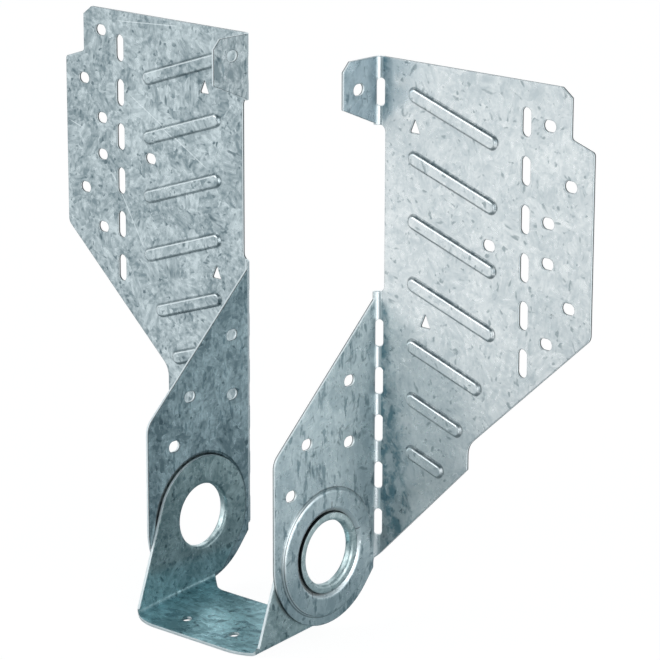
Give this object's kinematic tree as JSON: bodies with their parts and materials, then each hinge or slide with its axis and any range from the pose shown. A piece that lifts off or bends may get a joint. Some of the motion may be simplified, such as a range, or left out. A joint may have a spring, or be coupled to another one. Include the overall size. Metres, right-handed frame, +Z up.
{
  "type": "rafter hanger",
  "caption": "Field-adjustable rafter hanger: folded galvanised brackets with nail flanges carry a seat stirrup that swings on rolled eyelets.",
  "frame": {"origin": "on the header face, midway between the brackets and level with the eyelets' axis", "axes": "+X along the header from the left to the right bracket, +Y into the header, +Z up; the rafter lies towards -Y"},
  "size_m": [0.2688, 0.0699, 0.2194],
  "materials": {
    "left_bracket_zinc": "hot-dip galvanised, spangled",
    "right_bracket_zinc": "hot-dip galvanised, spangled",
    "stirrup_zinc": "hot-dip galvanised, spangled"
  },
  "bodies": {
    "left_bracket": {"left_bracket": "left_bracket_zinc"},
    "seat_stirrup": {"seat_stirrup": "stirrup_zinc"},
    "right_bracket": {"right_bracket": "right_bracket_zinc"}
  },
  "joints": [
    {"name": "left_eyelet", "type": "hinge", "parent": "left_bracket", "child": "seat_stirrup", "pos_m": [0, -0.0297, 0], "axis": [1, 0, 0], "range_deg": [-50, 40]},
    {"name": "right_eyelet", "type": "hinge", "parent": "seat_stirrup", "child": "right_bracket", "pos_m": [0, -0.0297, 0], "axis": [1, 0, 0], "range_deg": [-40, 50]}
  ]
}
